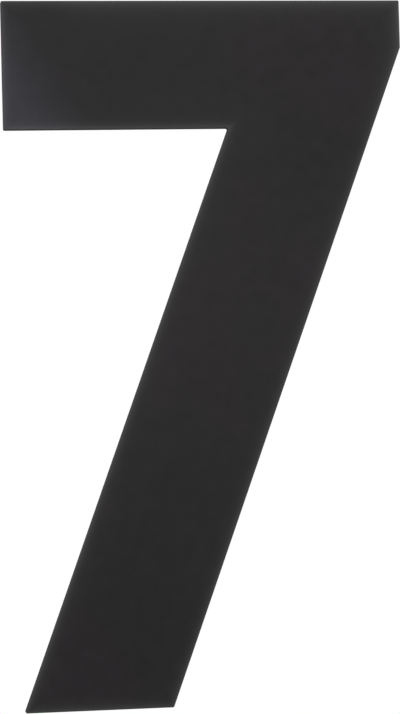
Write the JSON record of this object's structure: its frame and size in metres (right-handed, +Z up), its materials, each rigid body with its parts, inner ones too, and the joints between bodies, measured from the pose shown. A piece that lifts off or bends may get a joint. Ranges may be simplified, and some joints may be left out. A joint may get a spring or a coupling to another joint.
{
  "type": "house number",
  "caption": "Flat black metal house number, a plain figure seven, that stands off the wall on hidden threaded studs with spacer sleeves.",
  "frame": {"origin": "midway between the two studs, on the plane of the wall that the spacers meet", "axes": "+Z up the figure, +Y along the studs into the wall, so the figure's face looks along -Y, and +X to the right as it is read"},
  "size_m": [0.1145, 0.038, 0.2],
  "materials": {
    "black_coat": "satin black powder coat on flat sheet steel",
    "stud_steel": "plain rolled stainless thread",
    "black_plastic": "moulded black nylon, lightly spark textured"
  },
  "bodies": {
    "root": {"number_plate": "black_coat", "upper_stud": "stud_steel", "lower_stud": "stud_steel", "upper_spacer": "black_plastic", "lower_spacer": "black_plastic"}
  },
  "joints": []
}
